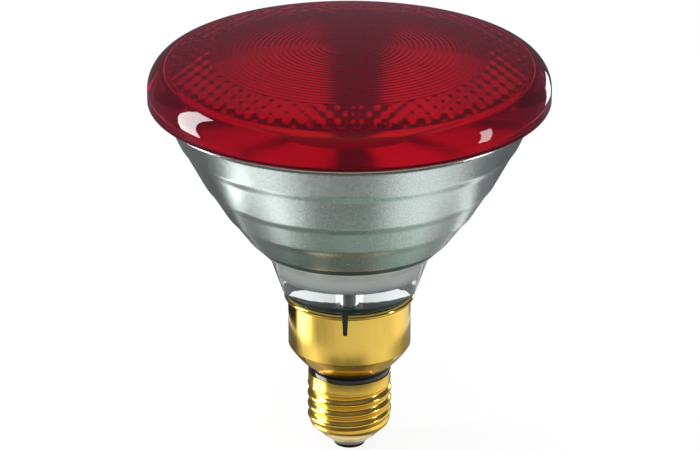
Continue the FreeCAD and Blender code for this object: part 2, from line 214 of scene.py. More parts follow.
def rounded(corners, count=4):
    """Outline through corners (r, z, fillet radius). The first and last corner stay sharp."""
    outline = [corners[0][:2]]
    for before, corner, after in zip(corners, corners[1:], corners[2:]):
        middle = Vector(corner[:2])
        if corner[2] == 0:
            outline.append(tuple(middle))
            continue
        inwards = (Vector(before[:2]) - middle).normalized()
        onwards = (Vector(after[:2]) - middle).normalized()
        half = inwards.angle(onwards) / 2
        centre = middle + (inwards + onwards).normalized() * (corner[2] / math.sin(half))
        reach = corner[2] / math.tan(half)
        first = middle + inwards * reach - centre
        last = middle + onwards * reach - centre
        sweep = math.atan2(first.x * last.y - first.y * last.x, first.dot(last))
        for step in range(count + 1):
            outline.append(tuple(centre + Matrix.Rotation(sweep * step / count, 2) @ first))
    outline.append(corners[-1][:2])
    return outline


def smooth_step(value, low, high):
    """Eased rise from 0 at the low value to 1 at the high one."""
    share = min(max((value - low) / (high - low), 0), 1)
    return share * share * (3 - 2 * share)


def angles(around):
    return [TURN * number / around for number in range(around)]


def round_places(radius_at, z, around=AROUND):
    """Places round the axis at one height, with the radius worked out from the angle."""
    return [(radius_at(a) * math.cos(a), radius_at(a) * math.sin(a), z) for a in angles(around)]


class Skin:
    """A mesh built ring by ring about the lamp's axis. A ring at radius 0 is one point."""

    def __init__(self):
        self.bm = bmesh.new()
        self.last = None
        self.first = None

    def ring(self, places, paint=0):
        """Adds a ring and joins it to the one before, with a material's number for the faces between."""
        ring = [self.bm.verts.new(Vector(place) * MM) for place in places]
        if self.last:
            self.join(self.last, ring, paint)
        else:
            self.first = ring
        self.last = ring

    def join(self, one, other, paint=0):
        """Faces between two rings, of which one may have a whole number of times the other's points."""
        if len(one) > len(other):
            one, other = other, one
        count = len(one)
        share = len(other) // count
        for i in range(count if count > 1 else len(other)):
            if count == 1:
                corners = [one[0], other[i], other[(i + 1) % len(other)]]
            else:
                near = [other[(i * share + k) % len(other)] for k in range(share, -1, -1)]
                corners = [one[i], one[(i + 1) % count]] + near
            face = self.bm.faces.new(corners)
            face.material_index = paint
            face.smooth = True

    def circle(self, radius, z, paint=0, around=AROUND):
        if radius == 0:
            self.ring([(0, 0, z)], paint)
        else:
            self.ring(round_places(lambda angle: radius, z, around), paint)

    def close(self):
        self.join(self.last, self.first)

    def finish(self, name, materials, sharp=30):
        """The mesh as an object, with edges sharper than an angle in degrees kept sharp."""
        bmesh.ops.recalc_face_normals(self.bm, faces=self.bm.faces)
        mesh = bpy.data.meshes.new(name)
        self.bm.to_mesh(mesh)
        self.bm.free()
        for material in materials:
            mesh.materials.append(material)
        mesh.set_sharp_from_angle(angle=math.radians(sharp))
        obj = bpy.data.objects.new(name, mesh)
        bpy.context.collection.objects.link(obj)
        return obj


def stands_for(obj, node):
    """The piece takes the place of a CAD node and rides on the lamp."""
    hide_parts(node)
    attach(obj, "root")


def turned(name, outline, material, closed=True):
    """Closed ring from an outline, or a solid whose outline starts and ends on the axis."""
    skin = Skin()
    for r, z in outline:
        skin.circle(r, z)
    if closed:
        skin.close()
    return skin.finish(name, [material])


def cut(obj, tool):
    """Takes the tool's shape out of the object, and then removes the tool."""
    modifier = obj.modifiers.new("cut", "BOOLEAN")
    modifier.operation = "DIFFERENCE"
    modifier.solver = "EXACT"
    modifier.object = tool
    bpy.context.view_layer.update()
    evaluated = obj.evaluated_get(bpy.context.evaluated_depsgraph_get())
    result = bpy.data.meshes.new_from_object(evaluated)
    obj.modifiers.remove(modifier)
    old = obj.data
    obj.data = result
    bpy.data.meshes.remove(old)
    bpy.data.objects.remove(tool)


def inner_crown_z(radius):
    reach = CROWN_RADIUS - LENS_WALL
    return LAMP_LENGTH - CROWN_RADIUS + math.sqrt(reach**2 - radius**2)


def lens_outline():
    """From the middle of the domed face over the shoulder to the land inside the bore."""
    crown_z = LAMP_LENGTH - CROWN_RADIUS
    shoulder_r = LENS_RADIUS - SHOULDER_RADIUS
    shoulder_z = crown_z + math.sqrt((CROWN_RADIUS - SHOULDER_RADIUS) ** 2 - shoulder_r**2)
    tilt = math.degrees(math.asin(shoulder_r / (CROWN_RADIUS - SHOULDER_RADIUS)))
    land = LENS_BORE - 2 * INNER_CORNER
    outline = [(0, LAMP_LENGTH)]
    outline += arc(0, crown_z, CROWN_RADIUS, 90, 90 - tilt, 24)[1:]
    outline += arc(shoulder_r, shoulder_z, SHOULDER_RADIUS, 90 - tilt, 0, 18)[1:]
    outline += rounded([
        (LENS_RADIUS, shoulder_z, 0),
        (LENS_RADIUS, LENS_FOOT_Z, LENS_FOOT_FILLET),
        (LENS_BORE, LENS_FOOT_Z, BORE_FILLET),
        (LENS_BORE, inner_crown_z(LENS_BORE), INNER_CORNER),
        (land, inner_crown_z(land), 0),
    ], 8)[1:-1]
    return outline


def lenslet_relief(x, y, low, high):
    """Chequered relief of the band between two radii inside the lens, with rows half a pitch apart."""
    r = math.hypot(x, y)
    share = smooth_step(r, low, low + LENSLET_EDGE) * smooth_step(-r, -high, LENSLET_EDGE - high)
    across = math.cos(TURN * x / LENSLET_PITCH)
    along = math.cos(TURN * y / (LENSLET_PITCH * math.sqrt(3)))
    return LENSLET_DEPTH * share * across * along


def lenslet_ring(r, low, high):
    places = []
    for angle in angles(FINE_AROUND):
        x = r * math.cos(angle)
        y = r * math.sin(angle)
        places.append((x, y, inner_crown_z(r) + lenslet_relief(x, y, low, high)))
    return places


def front_lens(polished, pressed):
    """Domed lens with a rounded shoulder, a plain middle inside, ribs round it and a band of lenslets."""
    skin = Skin()
    outline = lens_outline()
    for r, z in outline:
        skin.circle(r, z)
    rib_end = RIB_START + RIB_COUNT * RIB_PITCH
    band_end = outline[-1][0]
    inside = 1
    for number in range(1, LENSLET_ROWS + 1):
        r = band_end + (rib_end - band_end) * number / LENSLET_ROWS
        skin.ring(lenslet_ring(r, rib_end, band_end), inside)
    for number in range(RIB_COUNT * RIB_POINTS - 1, -1, -1):
        r = RIB_START + number * RIB_PITCH / RIB_POINTS
        rib = RIB_HEIGHT * abs(math.sin(math.pi * number / RIB_POINTS))
        skin.circle(r, inner_crown_z(r) - rib, inside)
    skin.circle(0, inner_crown_z(0), inside)
    return skin.finish("lens", [polished, pressed], 22)


def bowl_radius(z):
    return math.sqrt(BOWL_SPREAD * (z - BOWL_VERTEX_Z))


def mirror_radius(z):
    return math.sqrt(MIRROR_SPREAD * (z - MIRROR_VERTEX_Z))


def bowl_offset(z):
    """How far the outside stands off the parabola: each band flares to its foot, above a soft ledge."""
    top = FLANGE_FOOT_Z + STEP_LEDGE
    for foot in (*STEP_HEIGHTS, SHOULDER_Z):
        if z >= foot:
            share = (top - STEP_LEDGE - z) / (top - STEP_LEDGE - foot)
            if share < 0:
                return STEP_DEPTH * smooth_step(-share * (top - STEP_LEDGE - foot), 0, STEP_LEDGE)
            return STEP_DEPTH * share * share if foot > SHOULDER_Z else 0
        top = foot
    return 0


def bowl_side():
    """The bowl's outside from the flange down to the neck, with the edge of each ledge eased."""
    points = []
    for number in range(BOWL_RINGS + 1):
        z = FLANGE_FOOT_Z + (SHOULDER_Z - FLANGE_FOOT_Z) * number / BOWL_RINGS
        near = [min(max(z + shift, SHOULDER_Z), FLANGE_FOOT_Z) for shift in (-STEP_EASE, 0, STEP_EASE)]
        points.append((bowl_radius(z) + sum(bowl_offset(height) for height in near) / len(near), z))
    return points


def bowl_inside(skin):
    """Mirror film from the middle of the floor up to the seal, pale at its foot."""
    low = mirror_radius(FLOOR_Z)
    high = mirror_radius(SEAL_Z)
    skin.circle(0, FLOOR_Z)
    skin.circle(low, FLOOR_Z, FILM_FOOT)
    for number in range(1, FILM_RINGS + 1):
        r = low + (high - low) * number / FILM_RINGS
        skin.circle(r, MIRROR_VERTEX_Z + r * r / MIRROR_SPREAD, FILM if r > FILM_FOOT_RADIUS else FILM_FOOT)


def bowl_outside(skin):
    """Flange and stepped side down to the neck. Under the end of the satin coat, a band of painted shade
    stands for the dark line there.
    """
    flange = rounded([
        (mirror_radius(SEAL_Z), SEAL_Z, 0),
        (FLANGE_RADIUS, SEAL_Z, FLANGE_FILLET),
        (FLANGE_RADIUS, FLANGE_FOOT_Z, FLANGE_FILLET),
        (bowl_radius(FLANGE_FOOT_Z), FLANGE_FOOT_Z, 0),
    ])
    for r, z in flange[1:-1]:
        skin.circle(r, z, COAT)
    for r, z in bowl_side():
        paint = CLEAR
        if z > SILVER_END_Z:
            paint = COAT
        elif z > SILVER_END_Z - COAT_EDGE:
            paint = SHADE_PAINT
        skin.circle(r, z, paint)


def lug_reach(angle):
    """0 between the lugs and 1 on them, with eased sides."""
    spacing = TURN / LUG_COUNT
    off = (angle + TURN / 4 + spacing / 2) % spacing - spacing / 2
    edge = LUG_WIDTH / 2 - abs(off) * NECK_RADIUS
    return min(max(edge / LUG_EASE + 0.5, 0), 1)


def neck_lugs(skin):
    """Sides of the neck. Each ring has its share of the lugs' height, and its place by their top or foot."""
    stand_out = LUG_RADIUS - NECK_RADIUS
    sides = [(share, HEEL_Z + rise) for share, rise in ((0, -0.7), (0.7, -0.9), (1, -1.2))]
    sides += [(share, LUG_FOOT_Z + rise) for share, rise in ((1, 0.4), (0.8, 0.1), (0, 0))]
    for share, z in sides:
        places = round_places(lambda angle: NECK_RADIUS + stand_out * share * lug_reach(angle), z)
        # Below the skirt's rim, the lugs take the painted shade.
        skin.ring(places, SHADE_PAINT if z < RIM_Z else CLEAR)


def neck(skin):
    """Clear neck with an overhanging heel and lugs, painted dark in its bore and inside the skirt as painted
    shade and dark reflection.
    """
    heel = rounded([
        (bowl_radius(SHOULDER_Z), SHOULDER_Z, 0),
        (HEEL_RADIUS, HEEL_Z, HEEL_FILLET),
        (NECK_RADIUS, HEEL_Z, NECK_FILLET),
        (NECK_RADIUS, LUG_FOOT_Z, 0),
    ], 6)
    for r, z in heel[1:-1]:
        skin.circle(r, z)
    neck_lugs(skin)
    bore = rounded([
        (NECK_RADIUS, LUG_FOOT_Z - LUG_TAIL, 0),
        (NECK_RADIUS, NECK_END_Z, NECK_FILLET),
        (NECK_BORE, NECK_END_Z, NECK_FILLET),
        (NECK_BORE, NECK_ROOF_Z, NECK_ROOF_FILLET),
        (0, NECK_ROOF_Z, 0),
    ], 6)
    for r, z in bore:
        # The bore above its foot takes the painted shade.
        skin.circle(r, z, SHADE_PAINT if z > NECK_END_Z + SHADE_PAINT_START else CLEAR)


def reflector(materials):
    """Thick pressed glass: mirror film inside the bowl, satin coat outside, clear neck."""
    skin = Skin()
    bowl_inside(skin)
    bowl_outside(skin)
    neck(skin)
    obj = skin.finish("reflector_glass", materials)
    drill(obj, [(FERRULE_RADIUS, FERRULE_OFFSET), (FERRULE_RADIUS, -FERRULE_OFFSET), (EXHAUST_BORE, 0)])
    return obj


def drill(obj, holes):
    """Cuts upright round holes (radius, y) through the floor between the bowl and the neck."""
    bm = bmesh.new()
    for radius, y in holes:
        bmesh.ops.create_cone(
            bm,
            cap_ends=True,
            segments=HOLE_POINTS,
            radius1=radius * MM,
            radius2=radius * MM,
            depth=(FLOOR_Z - NECK_ROOF_Z + 1) * MM,
            matrix=Matrix.Translation((0, y * MM, (FLOOR_Z + NECK_ROOF_Z) / 2 * MM)),
        )
    mesh = bpy.data.meshes.new("holes")
    bm.to_mesh(mesh)
    bm.free()
    tool = bpy.data.objects.new("holes", mesh)
    bpy.context.collection.objects.link(tool)
    cut(obj, tool)


def skirt(brass):
    """Drawn cup with a tapered foot, a curled rim and narrow slots down from the rim."""
    inner = SKIRT_RADIUS - SKIRT_SHEET
    curl = RIM_BEAD - SKIRT_SHEET
    split_z = RIM_Z - WALL_SPLIT
    outline = [(SKIRT_HOLE, SKIRT_FOOT_Z + SKIRT_SHEET), (SKIRT_HOLE, SKIRT_FOOT_Z)]
    outline += taper_points(SKIRT_RADIUS, SKIRT_FOOT_RADIUS, 0)
    outline += [(SKIRT_RADIUS, split_z), (SKIRT_RADIUS, RIM_Z - RIM_SPRING)]
    outline += arc(SKIRT_RADIUS + curl, RIM_Z, curl, 180, -60, 12)
    outline += arc(SKIRT_RADIUS + curl, RIM_Z, RIM_BEAD, -60, 180, 16)
    outline += [(inner, split_z)]
    outline += reversed(taper_points(inner, SKIRT_FOOT_RADIUS - SKIRT_SHEET / 2, SKIRT_SHEET / 2))
    obj = turned("brass_skirt", outline, brass)
    cut(obj, slot_cutter())
    obj.data.set_sharp_from_angle(angle=math.radians(30))
    return obj


def taper_points(top, foot, lift):
    """Convex curve of the skirt's taper, from its foot up."""
    points = []
    low = SKIRT_FOOT_Z + 2 * lift
    high = TAPER_TOP_Z + lift
    chord = Vector((top - foot, high - low))
    outwards = Vector((chord.y, -chord.x)).normalized()
    for number in range(TAPER_RINGS + 1):
        share = number / TAPER_RINGS
        place = Vector((foot, low)) + chord * share + outwards * TAPER_BULGE * 4 * share * (1 - share)
        points.append(tuple(place))
    return points


def slot_cutter():
    """Upright wedges, narrower at the foot, that cut the slots through the skirt's wall and rim."""
    start = SKIRT_RADIUS - CUTTER_INSIDE
    end = SKIRT_RADIUS + CUTTER_OUTSIDE
    levels = (
        (SLOT_FOOT_WIDTH, SLOT_FOOT_Z),
        (SLOT_TOP_WIDTH, RIM_Z),
        (SLOT_TOP_WIDTH, RIM_Z + CUTTER_ABOVE),
    )
    skin = Skin()
    for number in range(SLOT_COUNT):
        turn = Matrix.Rotation(math.radians(SLOT_ANGLE + 360 * number / SLOT_COUNT), 3, "Z")
        rings = []
        for width, z in levels:
            half = width / 2
            corners = ((start, -half), (end, -half), (end, half), (start, half))
            rings.append([skin.bm.verts.new(turn @ Vector((x, y, z)) * MM) for x, y in corners])
        for lower, upper in zip(rings, rings[1:]):
            skin.join(lower, upper)
        skin.bm.faces.new(rings[0])
        skin.bm.faces.new(rings[-1])
    return skin.finish("slots", [])


def shell_radius(angle, z):
    """Radius of the screw shell's outside: plain band, rolled thread, plain edge above the cone."""
    to_band = smooth_step(z, SHELL_BAND_Z - THREAD_RUNOUT, SHELL_BAND_Z)
    from_cone = smooth_step(z, SHELL_CONE_Z, SHELL_CONE_Z + THREAD_RUNOUT)
    wave = math.cos(TURN * (z - THREAD_CREST_Z) / THREAD_PITCH - angle)
    plain = SHELL_BAND * to_band + THREAD_RADIUS * (1 - to_band)
    plain = plain * from_cone + SHELL_CONE * (1 - from_cone)
    return plain + THREAD_SWING * wave * (1 - to_band) * from_cone


def screw_shell(brass):
    """Thin shell whose inside follows the thread outside at one sheet's distance."""
    skin = Skin()
    slope = Vector((SHELL_CONE - SHELL_MOUTH, SHELL_CONE_Z - SHELL_MOUTH_Z)).normalized() * SHELL_CONE_EASE
    for shift, lift in SHELL_MOUTH_EASE:
        skin.circle(SHELL_MOUTH + shift, SHELL_MOUTH_Z + lift)
    skin.circle(SHELL_CONE - slope.x, SHELL_CONE_Z - slope.y)
    rise = (SHELL_BAND_Z - SHELL_CONE_Z) / THREAD_RINGS
    heights = [SHELL_CONE_Z + rise * number for number in range(THREAD_RINGS + 1)]
    for z in heights:
        skin.ring(round_places(lambda angle: shell_radius(angle, z), z))
    skin.circle(SHELL_BAND, SHELL_TOP_Z - SHELL_TOP_EASE)
    skin.circle(SHELL_BAND - SHELL_TOP_EASE, SHELL_TOP_Z)
    skin.circle(SHELL_BAND - SHELL_SHEET, SHELL_TOP_Z)
    for z in reversed(heights):
        skin.ring(round_places(lambda angle: shell_radius(angle, z) - SHELL_SHEET, z))
    skin.circle(SHELL_MOUTH - SHELL_SHEET, SHELL_MOUTH_Z)
    skin.close()
    return skin.finish("screw_shell_brass", [brass], 40)


def insulating_ring(black):
    """Ring with a head inside the skirt's foot and a spigot inside the shell's top."""
    head_z = SKIRT_FOOT_Z + SKIRT_SHEET + SEAT_GAP
    waist = SKIRT_HOLE - SEAT_GAP
    spigot = SHELL_BAND - SHELL_SHEET - SEAT_GAP
    outline = rounded([
        (RING_BORE, head_z + RING_HEAD_HEIGHT, 0),
        (RING_HEAD_RADIUS, head_z + RING_HEAD_HEIGHT, 0.2),
        (RING_HEAD_RADIUS, head_z, 0),
        (waist, head_z, 0),
        (waist, SKIRT_FOOT_Z, 0),
        (RING_RADIUS, SKIRT_FOOT_Z, 0.3),
        (RING_FOOT_RADIUS, SHELL_TOP_Z, 0.15),
        (spigot, SHELL_TOP_Z, 0),
        (spigot, SHELL_TOP_Z - RING_SPIGOT, 0.2),
        (RING_BORE, SHELL_TOP_Z - RING_SPIGOT, 0),
    ])
    return turned("black_ring", outline, black)


def rim_seal(paste):
    outline = rounded([
        (LENS_BORE, SEAL_Z, 0),
        (SEAL_RADIUS, SEAL_Z, SEAL_FILLET),
        (SEAL_RADIUS, LENS_FOOT_Z, SEAL_FILLET),
        (LENS_BORE, LENS_FOOT_Z, 0),
    ])
    return turned("seal_ring", outline, paste)


def base_glass(black):
    """Glass that fills the shell's cone and ends in a blunt foot under it."""
    slope = (SHELL_CONE - SHELL_MOUTH) / (SHELL_CONE_Z - SHELL_MOUTH_Z)
    inner_mouth = SHELL_MOUTH - SHELL_SHEET - SEAT_GAP
    outline = rounded([
        (BASE_HOLE, BASE_FOOT_Z, 0),
        (BASE_FOOT_RADIUS, BASE_FOOT_Z, 0.2),
        (SHELL_MOUTH - BASE_LIP, SHELL_MOUTH_Z - SEAT_GAP, 0.2),
        (inner_mouth, SHELL_MOUTH_Z - SEAT_GAP, 0),
        (inner_mouth, SHELL_MOUTH_Z, 0),
        (inner_mouth + slope * (BASE_TOP_Z - SHELL_MOUTH_Z), BASE_TOP_Z, 0),
        (BASE_HOLE, BASE_TOP_Z, 0),
    ])
    return turned("base_glass", outline, black)


def contact_plate(material):
    outline = rounded([
        (CONTACT_HOLE, CONTACT_FOOT_Z, 0),
        (CONTACT_RADIUS, CONTACT_FOOT_Z, 0.4),
        (CONTACT_RADIUS, BASE_FOOT_Z, 0.1),
        (CONTACT_HOLE, BASE_FOOT_Z, 0),
    ])
    return turned("contact_disc", outline, material)


def contact_solder(material):
    outline = rounded([
        (0, 0, 0),
        (SOLDER_FACE, 0, 1.2),
        (SOLDER_RADIUS, CONTACT_FOOT_Z, 0),
        (SOLDER_STEM, CONTACT_FOOT_Z, 0),
        (SOLDER_STEM, SOLDER_TOP_Z, 0),
        (0, SOLDER_TOP_Z, 0),
    ])
    return turned("contact_solder_bead", outline, material, closed=False)


def new_material(name):
    material = bpy.data.materials.new(name)
    material.use_nodes = True
    tree = material.node_tree
    return material, tree, tree.nodes["Principled BSDF"]


def noise_node(tree, scale, detail, stretch=(1, 1, 1)):
    """Noise in the lamp's own space. The scale is in bumps per metre."""
    place = tree.nodes.new("ShaderNodeTexCoord")
    mapping = tree.nodes.new("ShaderNodeMapping")
    mapping.inputs["Scale"].default_value = stretch
    texture = tree.nodes.new("ShaderNodeTexNoise")
    texture.inputs["Scale"].default_value = scale
    texture.inputs["Detail"].default_value = detail
    tree.links.new(place.outputs["Object"], mapping.inputs["Vector"])
    tree.links.new(mapping.outputs["Vector"], texture.inputs["Vector"])
    return texture


def spread(tree, source, low, high):
    """Maps a 0 to 1 value to a range."""
    node = tree.nodes.new("ShaderNodeMapRange")
    node.inputs["To Min"].default_value = low
    node.inputs["To Max"].default_value = high
    tree.links.new(source, node.inputs["Value"])
    return node.outputs["Result"]


def blend_colours(tree, factor, one, other):
    node = tree.nodes.new("ShaderNodeMix")
    node.data_type = "RGBA"
    node.inputs["A"].default_value = (*one, 1)
    node.inputs["B"].default_value = (*other, 1)
    tree.links.new(factor, node.inputs["Factor"])
    return node.outputs["Result"]


def add_bump(tree, shader, texture, distance):
    bump = tree.nodes.new("ShaderNodeBump")
    bump.inputs["Distance"].default_value = distance
    tree.links.new(texture.outputs["Fac"], bump.inputs["Height"])
    tree.links.new(bump.outputs["Normal"], shader.inputs["Normal"])


def red_glass(name, roughness):
    """Deep red filter glass with the slight waviness of pressed glass."""
    material, tree, shader = new_material(name)
    shader.inputs["Transmission Weight"].default_value = 0.94
    shader.inputs["IOR"].default_value = 1.48
    tone = noise_node(tree, 60, 1).outputs["Fac"]
    colour = blend_colours(tree, tone, (0.66, 0.012, 0.070), (0.72, 0.016, 0.080))
    tree.links.new(colour, shader.inputs["Base Color"])
    tree.links.new(spread(tree, tone, roughness, roughness * 1.3), shader.inputs["Roughness"])
    add_bump(tree, shader, noise_node(tree, 90, 1), 0.00003)
    return material


def clear_glass():
    """Clear pressed glass with a faint green tone."""
    material, tree, shader = new_material("clear_pressed_glass")
    shader.inputs["Transmission Weight"].default_value = 1
    shader.inputs["IOR"].default_value = 1.48
    shader.inputs["Roughness"].default_value = 0.01
    tone = noise_node(tree, 80, 1).outputs["Fac"]
    colour = blend_colours(tree, tone, (0.90, 0.975, 0.935), (0.94, 0.985, 0.96))
    tree.links.new(colour, shader.inputs["Base Color"])
    add_bump(tree, shader, noise_node(tree, 220, 1), 0.00008)
    return material


def satin_silver():
    """Silvered outside of the bowl, with a satin face and a fine grain."""
    material, tree, shader = new_material("satin_silvered_glass")
    shader.inputs["Metallic"].default_value = 1
    grain = noise_node(tree, 1900, 3)
    colour = blend_colours(tree, grain.outputs["Fac"], (0.50, 0.58, 0.535), (0.90, 0.98, 0.93))
    tree.links.new(colour, shader.inputs["Base Color"])
    tree.links.new(spread(tree, grain.outputs["Fac"], 0.20, 0.30), shader.inputs["Roughness"])
    add_bump(tree, shader, grain, 0.00003)
    return material


def metal(name, tones, roughness, scale, bump=0.0, stretch=(1, 1, 1)):
    """Metal whose tone and gloss vary a little over its surface, each between two values."""
    material, tree, shader = new_material(name)
    shader.inputs["Metallic"].default_value = 1
    texture = noise_node(tree, scale, 4, stretch)
    tree.links.new(blend_colours(tree, texture.outputs["Fac"], *tones), shader.inputs["Base Color"])
    tree.links.new(spread(tree, texture.outputs["Fac"], *roughness), shader.inputs["Roughness"])
    if bump:
        add_bump(tree, shader, texture, bump)
    return material


def dull(name, tones, roughness, scale, bump=0.00001, specular=0.5):
    """Insulator, painted shade, oxide or paste whose tone varies a little over its surface."""
    material, tree, shader = new_material(name)
    texture = noise_node(tree, scale, 4)
    tree.links.new(blend_colours(tree, texture.outputs["Fac"], *tones), shader.inputs["Base Color"])
    shader.inputs["Roughness"].default_value = roughness
    shader.inputs["Specular IOR Level"].default_value = specular
    add_bump(tree, shader, texture, bump)
    return material


def glass_pieces(clear):
    """Lens, bowl and the seal between them."""
    lens = front_lens(red_glass("red_glass_polished", 0.0), red_glass("red_glass_pressed", 0.10))
    stands_for(lens, "front_lens")
    film = metal("mirror_film", ((0.84, 0.86, 0.85), (0.93, 0.94, 0.93)), (0.12, 0.22), 160)
    film_foot = dull("film_foot", ((0.92, 0.93, 0.92), (0.97, 0.98, 0.97)), 0.4, 160)
    # Painted shade: dark glass colour for the bore, for the lugs inside the skirt and for the band under the
    # coat's end.
    shade_paint = dull("painted_shade_glass", ((0.018, 0.034, 0.026), (0.034, 0.058, 0.046)), 0.3, 300, specular=0.15)
    bowl = reflector([clear, satin_silver(), film, film_foot, shade_paint])
    stands_for(bowl, "reflector")
    paste = dull("seal_paste", ((0.45, 0.38, 0.18), (0.60, 0.53, 0.30)), 0.6, 700, 0.00003)
    stands_for(rim_seal(paste), "rim_seal")


def cap_pieces():
    """Skirt, insulating ring, screw shell, base and centre contact."""
    drawn = metal("lacquered_brass", BRASS_TONES, (0.08, 0.15), 900, 0.00001, DRAWN_GRAIN)
    rolled = metal("rolled_brass", BRASS_TONES, (0.17, 0.26), 900, 0.00001, DRAWN_GRAIN)
    black = dull("gloss_black_insulator", ((0.002, 0.002, 0.002), (0.005, 0.004, 0.004)), 0.06, 400)
    # Painted shade: the contact and the solder are metals darkened near black, for the dark that they show.
    contact_shade = metal("contact_painted_shade", ((0.008, 0.007, 0.006), (0.02, 0.018, 0.015)), (0.35, 0.5), 800, 0.00002)
    solder = metal("solder", ((0.02, 0.02, 0.02), (0.06, 0.06, 0.058)), (0.3, 0.5), 500, 0.00005)
    stands_for(skirt(drawn), "skirt")
    stands_for(insulating_ring(black), "insulating_ring")
    stands_for(screw_shell(rolled), "screw_shell")
    stands_for(base_glass(black), "base_insulator")
    stands_for(contact_plate(contact_shade), "contact_plate")
    stands_for(contact_solder(solder), "contact_solder")


def inside_materials(nodes, clear):
    """Materials of the CAD nodes that are carried over as they are."""
    alloy = dull("oxidised_alloy", ((0.07, 0.085, 0.075), (0.12, 0.14, 0.125)), 0.45, 900)
    nickel = metal("nickel_wire", ((0.55, 0.54, 0.52), (0.68, 0.67, 0.65)), (0.2, 0.35), 1500)
    tungsten = metal("tungsten", ((0.16, 0.16, 0.17), (0.28, 0.28, 0.29)), (0.35, 0.5), 3000)
    for material, names in (
        (alloy, ("ferrule_front", "ferrule_rear")),
        (nickel, ("post_front", "post_rear", "support_wire", "contact_lead", "shell_lead")),
        (tungsten, ("filament",)),
        (clear, ("support_bridge", "exhaust_tip")),
    ):
        for name in names:
            for slot in nodes[name].material_slots:
                slot.material = material


def larger(tree, one, other):
    node = tree.nodes.new("ShaderNodeMath")
    node.operation = "MAXIMUM"
    tree.links.new(one, node.inputs[0])
    tree.links.new(other, node.inputs[1])
    return node.outputs["Value"]


def seen(tree):
    """1 for the rays that show the background: to the camera, off metal and through glass."""
    path = tree.nodes.new("ShaderNodeLightPath").outputs
    direct = larger(tree, path["Is Camera Ray"], path["Is Glossy Ray"])
    return larger(tree, direct, path["Is Transmission Ray"])


def floor():
    """Pale floor that shows near white and keeps a soft shadow."""
    material, tree, shader = new_material("pale_floor")
    shader.inputs["Base Color"].default_value = (FLOOR_TONE, FLOOR_TONE, FLOOR_TONE, 1)
    shader.inputs["Roughness"].default_value = 0.9
    glow = tree.nodes.new("ShaderNodeEmission")
    glow.inputs["Strength"].default_value = FLOOR_GLOW
    weight = tree.nodes.new("ShaderNodeMath")
    weight.operation = "MULTIPLY"
    weight.inputs[1].default_value = FLOOR_GLOW_SHARE
    mix = tree.nodes.new("ShaderNodeMixShader")
    tree.links.new(seen(tree), weight.inputs[0])
    tree.links.new(weight.outputs["Value"], mix.inputs["Fac"])
    tree.links.new(shader.outputs["BSDF"], mix.inputs[1])
    tree.links.new(glow.outputs["Emission"], mix.inputs[2])
    tree.links.new(mix.outputs["Shader"], tree.nodes["Material Output"].inputs["Surface"])
    skin = Skin()
    corners = ((-FLOOR_REACH, -FLOOR_REACH), (FLOOR_REACH, -FLOOR_REACH),
               (FLOOR_REACH, FLOOR_REACH), (-FLOOR_REACH, FLOOR_REACH))
    skin.bm.faces.new([skin.bm.verts.new((x, y, 0)) for x, y in corners])
    skin.finish("floor", [material])


def card_material(name, level, tint=COOL_TINT):
    """Matt black card that glows a little, as one that a lamp lights."""
    material, tree, shader = new_material(name)
    tone = noise_node(tree, 3, 1)
    black = blend_colours(tree, tone.outputs["Fac"], (0.002, 0.002, 0.002), (0.004, 0.004, 0.004))
    tree.links.new(black, shader.inputs["Base Color"])
    shader.inputs["Roughness"].default_value = 0.9
    shader.inputs["Emission Color"].default_value = (*tint, 1)
    shader.inputs["Emission Strength"].default_value = level
    return material


def swept_material(name, stops, tint):
    """Glow whose level changes with azimuth: stops are (degrees from the front towards +X, level)."""
    material, tree, shader = new_material(name)
    place = tree.nodes.new("ShaderNodeTexCoord")
    sweep = tree.nodes.new("ShaderNodeTexGradient")
    sweep.gradient_type = "RADIAL"
    ramp = tree.nodes.new("ShaderNodeValToRGB")
    peak = max(level for azimuth, level in stops)
    points = ramp.color_ramp.elements
    while len(points) < len(stops):
        points.new(0.5)
    for point, (azimuth, level) in zip(points, stops):
        point.position = azimuth / 360 + 0.5
        point.color = (*[level / peak * part for part in tint], 1)
    tree.links.new(place.outputs["Object"], sweep.inputs["Vector"])
    tree.links.new(sweep.outputs["Fac"], ramp.inputs["Fac"])
    tree.links.new(ramp.outputs["Color"], shader.inputs["Emission Color"])
    shader.inputs["Base Color"].default_value = (0, 0, 0, 1)
    shader.inputs["Emission Strength"].default_value = peak
    return material


def only_reflected(obj):
    """The lamp shows the card, while the camera and the floor's light don't."""
    obj.visible_camera = False
    obj.visible_diffuse = False
    obj.visible_shadow = False


def swept_card(name, rings, stops, tint=COOL_TINT):
    """Round card through rings (radius, z), turned so that its seam lies at the back."""
    skin = Skin()
    for radius, z in rings:
        skin.circle(radius / MM, z / MM)
    obj = skin.finish(name, [swept_material(name, stops, tint)])
    obj.rotation_euler.z = -TURN / 4
    obj.visible_transmission = False
    only_reflected(obj)
    return obj


def tent():
    """Dark studio all round, with the lit part of the table left open in its floor."""
    skin = Skin()
    for radius in (TABLE_RADIUS, TENT_RADIUS):
        skin.circle(radius / MM, TENT_FOOT_Z / MM, around=STUDIO_AROUND)
    for number in range(1, TENT_RINGS):
        angle = TURN / 4 * number / TENT_RINGS
        radius = TENT_RADIUS / MM * math.cos(angle)
        skin.circle(radius, TENT_RADIUS / MM * math.sin(angle), around=STUDIO_AROUND)
    skin.circle(0, TENT_RADIUS / MM)
    only_reflected(skin.finish("dark_tent", [card_material("dark_tent", TENT_LEVEL, TENT_TINT)]))


